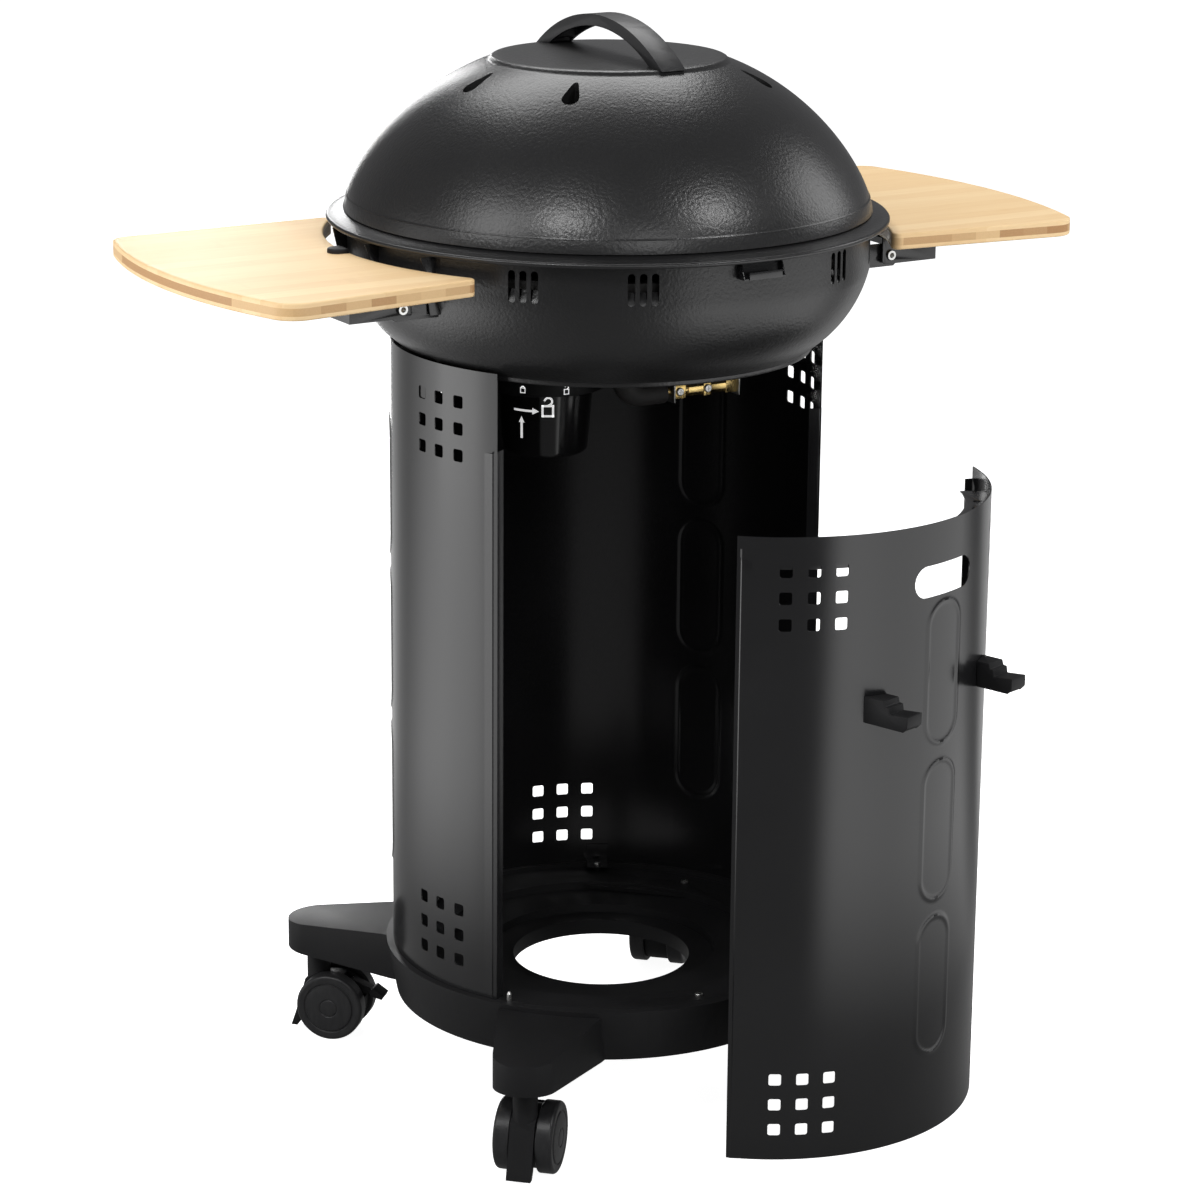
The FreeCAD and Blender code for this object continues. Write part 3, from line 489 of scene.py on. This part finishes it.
def softened(node, name, material, width, segments=2):
    """The CAD piece with its edges broken by a small radius, as a moulded or folded piece has."""
    bm = bmesh.new()
    bm.from_mesh(frame["nodes"][node].data)
    bmesh.ops.remove_doubles(bm, verts=bm.verts, dist=0.000004)
    flat = math.radians(0.6)
    bmesh.ops.dissolve_limit(bm, angle_limit=flat, verts=bm.verts, edges=bm.edges)
    clean = bpy.data.meshes.new(name)
    for layer in list(bm.loops.layers.uv.values()):
        bm.loops.layers.uv.remove(layer)
    bm.to_mesh(clean)
    bm.free()
    for attribute in ("custom_normal", "sharp_edge", "sharp_face"):
        if attribute in clean.attributes:
            clean.attributes.remove(clean.attributes[attribute])
    bevel = {
        "width": width,
        "segments": segments,
        "limit_method": "ANGLE",
        "angle_limit": math.radians(30.0),
        "use_clamp_overlap": True,
        "harden_normals": False,
    }
    named_piece(name, worked(clean, ("BEVEL", bevel)), material, node)


softened("lid_hooks", "moulded_lid_hooks", moulded_black, 0.0007)


def zinc_recipe(place):
    """Galvanised sheet: pale crystals of slightly different tone."""
    crystal = place.cells(130)
    cloud = place.noise(25, 4.0)
    return {
        "Base Color": (crystal * 0.6 + cloud * 0.5).held().between((0.36, 0.36, 0.35), (0.60, 0.60, 0.58)),
        "Roughness": crystal * 0.20 + 0.30,
        "Normal": cloud.bump(0.0001, 0.2),
    }


def bright_recipe(place):
    """Zinc-plated screws and pins: turning marks and a little tarnish."""
    marks = place.scaled(1, 1, 9).noise(600, 2.0)
    tarnish = place.noise(90, 4.0)
    return {
        "Base Color": tarnish.between((0.50, 0.50, 0.49), (0.74, 0.74, 0.72)),
        "Roughness": marks * 0.16 + 0.20,
        "Normal": marks.bump(0.00003, 0.4),
    }


galvanised = finish("galvanised_sheet", zinc_recipe, Metallic=1.0)
bright_zinc = finish("bright_zinc", bright_recipe, Metallic=1.0)


def dressed(material, *nodes):
    """CAD pieces whose shape is right keep it, and get their real finish."""
    for node in nodes:
        for held in frame["nodes"][node].material_slots:
            held.material = material


softened("front_panel_brace", "panel_brace", gloss_black, 0.0004)
dressed(bright_zinc, "lid_hook_screws")

# ---- cabinet inside -----------------------------------------------------
# A steel strip backs the rear seam, and small folded angles fix the panels to the base and carry the bowl.
# All are coated like the panels and held by zinc-plated cross-head screws.

dressed(gloss_black, "cabinet_seam_strip", "panel_foot_brackets", "bowl_support_brackets")
dressed(bright_zinc, "cabinet_screws")

# ---- base ---------------------------------------------------------------
# One black moulding: a stepped ring that the cabinet stands in and the gas bottle sits over, a large hole for
# air, four tapered legs with ribs below, and a socket for a caster stem in each leg.

softened("base_moulding", "base", moulded_black, 0.0011, 3)
dressed(bright_zinc, "base_screws", "locating_pins", "caster_stems")

# ---- casters ------------------------------------------------------------
# Four twin-wheel casters: a swivelling hood between two satin nylon wheels on a steel axle, with a toe pedal
# at the back. Each turns on a steel stem that is pushed into a leg of the base.


def wheel_recipe(place):
    """Polyamide wheels: a satin face, fine scuffs and a bit of floor dust low in the grain."""
    scuff = place.scaled(1, 1, 0.3).noise(240, 4.0)
    grain = place.noise(1300, 2.0)
    return {
        "Base Color": scuff.between((0.014, 0.014, 0.015), (0.032, 0.032, 0.033)),
        "Roughness": scuff * 0.18 + 0.24,
        "Normal": grain.bump(0.00004, 0.5),
    }


wheel_black = finish("wheel_black", wheel_recipe, Specular_IOR_Level=0.3)
for corner in ("fl", "fr", "rl", "rr"):
    softened(corner + "_caster_body", corner + "_hood", moulded_black, 0.0009, 3)
    softened(corner + "_wheel_pair", corner + "_wheels", wheel_black, 0.0004)
    softened(corner + "_brake_pedal", corner + "_pedal", moulded_black, 0.0007, 3)
    dressed(bright_zinc, corner + "_axle")

# ---- bowl ---------------------------------------------------------------
# A deep-drawn steel bowl under hammered black enamel. Its belly curves out over the cabinet, groups of
# pressed louvres let the fire breathe, and its rolled rim slopes away so that rain runs off.

bowl_turn = 1.5
louvre_groups = (-50.5, -25.5, 25.5, 50.5, 154.5, -154.5)
louvre_step = 2.48
louvre_height = 0.847
scoop_half_width = 0.0034
drain_place = (-0.043, 0.043)
drain_radius = 0.030
tube_hole_place = (0.0, -0.030)
tube_hole_radius = 0.0125


def hammered_recipe(place):
    """Fired enamel with an orange-peel skin, heavier where it ran, and slightly uneven gloss."""
    peel = place.noise(330, 2.5, 0.5)
    coarse = place.noise(95, 2.0)
    cloud = place.noise(7, 4.0)
    uneven = (cloud * 0.6 + peel * 0.3).held()
    return {
        "Base Color": uneven.between((0.008, 0.008, 0.0083), (0.014, 0.014, 0.0144)),
        "Roughness": cloud * 0.07 + peel * 0.08 + 0.235,
        "Normal": (peel + coarse * 0.35).bump(0.00042, 0.75),
    }


hammered_black = finish("hammered_black_enamel", hammered_recipe)


def arc_points(start, middle, end, steps):
    """Points of the arc through three points, from start to end."""
    (ax, ay), (bx, by), (cx, cy) = start, middle, end
    d = 2 * (ax * (by - cy) + bx * (cy - ay) + cx * (ay - by))
    a2, b2, c2 = ax * ax + ay * ay, bx * bx + by * by, cx * cx + cy * cy
    ux = (a2 * (by - cy) + b2 * (cy - ay) + c2 * (ay - by)) / d
    uy = (a2 * (cx - bx) + b2 * (ax - cx) + c2 * (bx - ax)) / d
    radius = math.hypot(ax - ux, ay - uy)
    first = math.atan2(ay - uy, ax - ux)
    way = math.atan2(by - uy, bx - ux)
    last = math.atan2(cy - uy, cx - ux)
    while way < first:
        way += 2 * math.pi
    while last < first:
        last += 2 * math.pi
    if way > last:
        last -= 2 * math.pi
    angles = [first + (last - first) * k / steps for k in range(steps + 1)]
    return [(ux + radius * math.cos(a), uy + radius * math.sin(a)) for a in angles]


def lathe(profile, steps, centre=(0.0, 0.0), closed=True):
    """Turns (radius, height) points about an upright axis. Points on the axis are shared."""
    bm = bmesh.new()
    rings = []
    for radius, z in profile:
        if radius < 1e-6:
            rings.append([bm.verts.new((centre[0], centre[1], z))] * steps)
            continue
        ring = []
        for k in range(steps):
            ring.append(bm.verts.new(polar(radius, 360 * k / steps, z) + Vector((*centre, 0))))
        rings.append(ring)
    pairs = list(zip(rings, rings[1:]))
    if closed:
        pairs.append((rings[-1], rings[0]))
    for low, high in pairs:
        for k in range(steps):
            nxt = (k + 1) % steps
            corners = []
            for vert in (low[k], low[nxt], high[nxt], high[k]):
                if vert not in corners:
                    corners.append(vert)
            if len(corners) > 2:
                bm.faces.new(corners)
    return mesh_of("lathe", bm)


bowl_outside = [(0.0, 0.728), (0.060, 0.728), (0.110, 0.728), (0.150, 0.745), (0.1972, 0.745)]
bowl_outside += [(0.1984, 0.7456), (0.1990, 0.7466), (0.1990, 0.7495), (0.2085, 0.7572), (0.218, 0.765)]
bowl_outside += arc_points((0.218, 0.765), (0.2395, 0.793), (0.252, 0.826), 18)[1:]
bowl_outside += [(0.252, z / 1000) for z in (834, 842, 850, 858, 866)]
rim = [(0.2520, 0.8738), (0.2532, 0.8756), (0.2660, 0.8716)]
rim += arc_points((0.2660, 0.8698), (0.2701, 0.8714), (0.2668, 0.8741), 8)
rim += [(0.2590, 0.8765), (0.2526, 0.8784)]
rim += arc_points((0.2520, 0.8785), (0.2508, 0.8780), (0.2505, 0.8768), 3)
bowl_inside = [(0.2505, z / 1000) for z in (866, 850, 834)]
bowl_inside += arc_points((0.2505, 0.8263), (0.2381, 0.7936), (0.2168, 0.766), 18)
bowl_inside += [(0.1977, 0.7504), (0.1967, 0.7465), (0.1497, 0.7465), (0.1097, 0.7295)]
bowl_inside += [(0.060, 0.7295), (0.0, 0.7295)]
bowl_mesh = lathe(bowl_outside + rim + bowl_inside, 288, closed=False)
louvres = bmesh.new()
scoops = bmesh.new()
slot_ring = rounded_ring(0.0068, 0.030, 0.00339, 6)
scoop_face = [(0.2516, 0.8308), (0.2507, 0.8335), (0.2488, 0.8368), (0.2463, 0.8400), (0.2440, 0.8434)]
scoop_back = [(0.2430, 0.8428), (0.2453, 0.8394), (0.2478, 0.8361), (0.2497, 0.8331), (0.2506, 0.8308)]
for group in louvre_groups:
    for step in (-louvre_step, 0, louvre_step):
        azimuth = group + bowl_turn + step
        add_prism(louvres, slot_ring, 0.247, 0.262, facing(azimuth, 0, 2, 1, louvre_height))
        scoop_place = facing(azimuth, 2, 0, 1)
        add_prism(scoops, scoop_face + scoop_back, -scoop_half_width, scoop_half_width, scoop_place)
for radius, (x, y), steps in ((drain_radius, drain_place, 40), (tube_hole_radius, tube_hole_place, 24)):
    turns = [2 * math.pi * k / steps for k in range(steps)]
    hole = [(radius * math.cos(turn), radius * math.sin(turn)) for turn in turns]
    add_prism(louvres, hole, 0.718, 0.740, lambda u, v, depth, x=x, y=y: Vector((x + u, y + v, depth)))
bowl_mesh = cut_out(bowl_mesh, mesh_of("louvres", louvres))
pressed = bmesh.new()
pressed.from_mesh(bowl_mesh)
pressed.from_mesh(mesh_of("scoops", scoops))
bowl_mesh = mesh_of("bowl", pressed)
named_piece("enamelled_bowl", bowl_mesh, hammered_black, "bowl")
softened("bowl_front_catch", "front_catch", gloss_black, 0.0004)
dressed(galvanised, "grid_rests")

# ---- fire and gas parts -------------------------------------------------
# Inside the bowl a cast-iron ring burner sits under a steel fat spreader and an enamelled cast grid. Under
# the bowl a brass jet block on a folded bracket feeds a black mixing tube, and a barbed tail takes the hose.


def iron_recipe(place):
    """Cast iron under matt enamel: a sandy skin with pits."""
    sand = place.noise(700, 4.0)
    pits = place.cells(260)
    return {
        "Base Color": sand.between((0.016, 0.015, 0.015), (0.045, 0.043, 0.041)),
        "Roughness": sand * 0.25 + 0.55,
        "Normal": (sand + pits * 0.4).bump(0.0003, 0.6),
    }


def brass_recipe(place):
    """Machined brass: fine cutter marks along the bar and a warm, uneven tarnish."""
    marks = place.scaled(14, 1, 1).noise(420, 2.0)
    tarnish = place.noise(120, 4.0)
    return {
        "Base Color": tarnish.between((0.70, 0.47, 0.14), (0.93, 0.72, 0.33)),
        "Roughness": marks * 0.14 + tarnish * 0.10 + 0.12,
        "Normal": marks.bump(0.00005, 0.5),
    }


cast_iron = finish("cast_iron", iron_recipe)
brass = finish("machined_brass", brass_recipe, Metallic=1.0)
softened("cooking_grid", "cast_grid", cast_iron, 0.0008)
dressed(cast_iron, "burner_ring", "mixing_tube")
dressed(galvanised, "heat_spreader")
softened("jet_bracket", "jet_bracket_sheet", galvanised, 0.0003)
softened("jet_block", "brass_jet_block", brass, 0.0005)
dressed(brass, "gas_hose_tail")
dressed(bright_zinc, "jet_screws")

# ---- fat cup ------------------------------------------------------------
# A glossy cup that turns into a collar under the bowl's drain. White printed signs show which way it turns:
# an open and a shut padlock on the collar, and arrows with an open padlock on the cup.

cup_facing = -31.45
cup_foot = (0.640, 0.0415)
cup_shoulder = (0.700, 0.0465)
collar_radius = 0.058


def cup_recipe(place):
    """Glossy moulding with faint flow lines down from the gate."""
    flow = place.scaled(1, 1, 0.15).noise(120, 3.0)
    return {
        "Base Color": flow.between((0.006, 0.006, 0.0065), (0.013, 0.013, 0.0135)),
        "Roughness": flow * 0.10 + 0.10,
        "Normal": flow.bump(0.0002, 0.25),
    }


cup_black = finish("cup_black", cup_recipe)
cup_profile = [(0.0, 0.635), (0.020, 0.635), (0.0345, 0.635)]
cup_profile += arc_points((0.0360, 0.6350), (0.0399, 0.6366), (0.0415, 0.6400), 8)
cup_profile += [(0.04235, 0.650), (0.04485, 0.680), (0.0465, 0.700), (0.0465, 0.7090), (0.0460, 0.7095)]
cup_profile += [(0.0448, 0.7095), (0.0443, 0.7090), (0.0443, 0.700), (0.0394, 0.6405)]
cup_profile += arc_points((0.0394, 0.6405), (0.0385, 0.6383), (0.0360, 0.6375), 4)[1:]
cup_profile += [(0.020, 0.6375), (0.0, 0.6375)]
named_piece("fat_cup", lathe(cup_profile, 96, drain_place, closed=False), cup_black, "drip_cup")
softened("drip_cup_collar", "cup_collar", moulded_black, 0.0006)


def glowing_print_recipe(place):
    """White ink, a little worn. The same colour also feeds the emission, a painted glow that makes the print
    shine though it is no lamp.
    """
    wear = place.noise(900, 3.0)
    tone = wear.between((0.84, 0.84, 0.84), (0.95, 0.95, 0.95))
    # tone is both the ink's colour and its painted glow
    return {"Base Color": tone, "Emission Color": tone, "Roughness": wear * 0.2 + 0.4}


# The signs emit light at 0.6: a painted glow on the white print.
glowing_white_print = finish("glowing_white_print", glowing_print_recipe, Emission_Strength=0.6)


def stroke(points, width, closed=False):
    """Quads along a line of points, as a printed stroke of even width."""
    quads = []
    loop = points + [points[0]] if closed else points
    for (x0, y0), (x1, y1) in zip(loop, loop[1:]):
        length = math.hypot(x1 - x0, y1 - y0)
        ux, uy = (x1 - x0) / length * width / 2, (y1 - y0) / length * width / 2
        quads.append([(x0 - ux + uy, y0 - uy - ux), (x1 + ux + uy, y1 + uy - ux),
                      (x1 + ux - uy, y1 + uy + ux), (x0 - ux - uy, y0 - uy + ux)])
    return quads


def bow(radius, first, last, steps=10):
    """Points of an arc about the origin, between two angles in degrees."""
    angles = [math.radians(first + (last - first) * k / steps) for k in range(steps + 1)]
    return [(radius * math.cos(a), radius * math.sin(a)) for a in angles]


def padlock(size, shut):
    """A plain padlock sign: a square body and a bow, set to one side when open."""
    half = size / 2
    body = stroke([(-half, -half), (half, -half), (half, half), (-half, half)], size * 0.2, closed=True)
    if shut:
        shackle = [(x, y + half) for x, y in bow(size * 0.36, 0, 180)]
    else:
        shackle = [(x + half * 0.1, y + half * 1.9) for x, y in bow(size * 0.36, -80, 160)]
    return body + stroke(shackle, size * 0.17)


def arrow(length, width, head):
    """A plain arrow that points along +x."""
    shaft = stroke([(0, 0), (length - head, 0)], width)
    return shaft + [[(length - head, -head * 0.5), (length, 0), (length, 0), (length - head, head * 0.5)]]


def shifted(quads, dx, dy, upright=False):
    """A sign moved to its place, first turned to point up if upright."""
    if upright:
        quads = [[(-y, x) for x, y in quad] for quad in quads]
    return [[(x + dx, y + dy) for x, y in quad] for quad in quads]


def printed(name, quads, radius_at, centre_height, azimuth, node):
    """Lays flat signs on an upright round surface as a thin printed film, cut fine enough to follow it."""
    bm = bmesh.new()
    film = 0.00008
    pieces = 6
    for quad in quads:
        (ax, ay), (bx, by), (cx, cy), (dx, dy) = quad
        verts = []
        for k in range(pieces + 1):
            t = k / pieces
            row = []
            for u, v in ((ax + (bx - ax) * t, ay + (by - ay) * t), (dx + (cx - dx) * t, dy + (cy - dy) * t)):
                z = centre_height + v
                radius = radius_at(z) + film
                spot = polar(radius, azimuth + math.degrees(u / radius), z)
                row.append(bm.verts.new(spot + Vector((*drain_place, 0))))
            verts.append(row)
        for (a, b), (c, d) in zip(verts, verts[1:]):
            bm.faces.new((a, c, d, b))
    mesh = mesh_of(name, bm)
    # the film takes the white print with its painted glow
    mesh.materials.append(glowing_white_print)
    riding(name, mesh, body_of[node])


def cup_surface(z):
    """The cup's outside radius at a height: it widens evenly from foot to shoulder."""
    (low, narrow), (high, wide) = cup_foot, cup_shoulder
    return narrow + (z - low) * (wide - narrow) / (high - low)


signs = shifted(padlock(0.0102, False), 0.003, 0.0)
signs += shifted(arrow(0.026, 0.0022, 0.0066), -0.0315, -0.0005)
signs += shifted(arrow(0.0210, 0.0026, 0.0064), -0.0235, -0.0275, upright=True)
printed("cup_signs", signs, cup_surface, 0.6835, cup_facing, "drip_cup")
collar_signs = shifted(padlock(0.0046, True), -0.0215, -0.001)
collar_signs += shifted(padlock(0.0046, False), 0.0215, -0.002)
printed("collar_signs", collar_signs, lambda z: collar_radius, 0.7070, cup_facing, "drip_cup_collar")

# ---- lid ----------------------------------------------------------------
# A deep-drawn dome in the same hammered enamel, with six drop-shaped vents pressed round a flat crown and a
# short skirt inside that centres it on the bowl.

lid_edge = 0.879
lid_top = 1.0270
lid_sheet = 0.0014
dome_radius = 0.2535
dome_rise = 0.1581
vent_azimuths = (-135, -90, -45, 45, 90, 135)
vent_middle = 0.1500


def lid_radius(z):
    """The dome's outside: a squashed curve, upright at the edge and nearly flat at the crown."""
    rise = (z - lid_edge) / dome_rise
    return dome_radius * (1 - rise ** 1.418) ** (1 / 2.374)


dome = [(0.25235, lid_edge), (0.2530, lid_edge), (dome_radius, 0.8796)]
heights = [0.882 + 0.1375 * (1 - (1 - k / 44) ** 1.6) for k in range(45)]
dome += [(lid_radius(z), z) for z in heights]
crown_radius, crown_low = dome[-1]
dome += [(crown_radius - 0.0016, crown_low + 0.0014), (crown_radius - 0.0030, crown_low + 0.0030)]
dome += arc_points((crown_radius - 0.0045, crown_low + 0.0038), (0.070, 1.0257), (0.0, lid_top), 14)
under = []
for (r0, z0), (r1, z1) in zip(dome[2:], dome[3:] + [(0.0, lid_top)]):
    length = math.hypot(r1 - r0, z1 - z0)
    if length > 1e-6:
        under.append((max(r0 - (z1 - z0) / length * lid_sheet, 0.0), z0 + (r1 - r0) / length * lid_sheet))
under.append((0.0, lid_top - lid_sheet))
lid_mesh = lathe(dome + under[::-1], 240, closed=False)
round_end = [math.radians(turn) for turn in range(0, 181, 12)]
vent = [(math.cos(turn) * 0.0082, vent_middle + math.sin(turn) * 0.0078) for turn in round_end]
vent += [(-0.0078, 0.1470), (-0.0030, 0.1300), (-0.0016, 0.1272), (0.0, 0.1264), (0.0016, 0.1272)]
vent += [(0.0030, 0.1300), (0.0078, 0.1470)]
vents = bmesh.new()
for azimuth in vent_azimuths:
    add_prism(vents, vent, 0.990, 1.040, facing(azimuth, 0, 1, 2))
lid_mesh = cut_out(lid_mesh, mesh_of("vents", vents))
named_piece("enamelled_lid", lid_mesh, hammered_black, "lid_shell")
skirt = [(0.2502, 0.8934), (0.2510, 0.8920), (0.2468, 0.8880), (0.2468, 0.8710)]
skirt += [(0.2458, 0.8710), (0.2458, 0.8890)]
riding("lid_skirt", coated(lathe(skirt, 144), hammered_black, 30.0), "lid")

# The handle is one satin nylon arch, open underneath and ribbed at its feet, held by two screws from inside.


def handle_recipe(place):
    """Moulded nylon with a fine grain, smoother where it is held."""
    grain = place.noise(1100, 2.0)
    touch = place.noise(30, 4.0)
    return {
        "Base Color": touch.between((0.008, 0.008, 0.0085), (0.015, 0.015, 0.016)),
        "Roughness": touch * 0.14 + 0.33,
        "Normal": grain.bump(0.00005, 0.5),
    }


handle_black = finish("handle_black", handle_recipe)
softened("lid_handle", "arched_handle", handle_black, 0.0014, 3)
dressed(bright_zinc, "lid_handle_screws")

# ---- side tables --------------------------------------------------------
# Two bamboo boards, glued up in three layers and oiled, each screwed to a folded steel arm that turns on
# rivets in a bracket on the bowl. A small moulded catch sits at each board's inner edge.

layer_low = 0.8442
layer_high = 0.8514
stave_width = 0.0235
block_width = 0.0265


def plank_tone(number):
    """A tone of its own for each stave or block."""
    return number.add("ShaderNodeTexWhiteNoise", {"noise_dimensions": "1D"}, {"W": number})


def bamboo_recipe(place):
    """Three glued layers: long staves above and below, and short blocks across the middle one."""
    x, y, z = place.part(0), place.part(1), place.part(2)
    middle_layer = (z > layer_low) * (z < layer_high)
    stave_tone = plank_tone((y * (1 / stave_width)).floor() * 1.7 + 3.1)
    block_tone = plank_tone((x * (1 / block_width)).floor() * 2.3 + 8.6)
    fibre = place.scaled(1, 22, 22).noise(26, 5.0, 0.6)
    streak = place.scaled(1, 9, 9).noise(9, 3.0)
    knot_bands = place.scaled(1, 0.35, 1).noise(38, 2.0)
    knots = ((knot_bands - 0.66) * 6.0).held() * fibre
    shade = (stave_tone * 0.28 + fibre * 0.42 + streak * 0.34 + knots * 0.35 - 0.08).held()
    face = shade.between((0.97, 0.74, 0.44), (0.78, 0.50, 0.225))
    end_grain = place.noise(700, 2.0)
    ends = (block_tone.power(2.2) * 0.85 + end_grain * 0.25).held()
    core = ends.between((0.80, 0.55, 0.28), (0.43, 0.22, 0.085))
    height = fibre * 0.6 + end_grain * 0.3
    return {
        "Base Color": middle_layer.between(face, core),
        "Roughness": fibre * 0.18 + 0.38,
        "Normal": height.bump(0.00025, 0.35),
    }


bamboo = finish("oiled_bamboo", bamboo_recipe, Specular_IOR_Level=0.4)
for side in ("left", "right"):
    dressed(bamboo, side + "_table_board")
    softened(side + "_table_arm", side + "_arm", gloss_black, 0.0005)
    softened(side + "_table_bracket", side + "_bracket", gloss_black, 0.0004)
    softened(side + "_table_catch", side + "_catch", moulded_black, 0.0006)
    dressed(bright_zinc, side + "_hinge_rivets", side + "_table_screws")
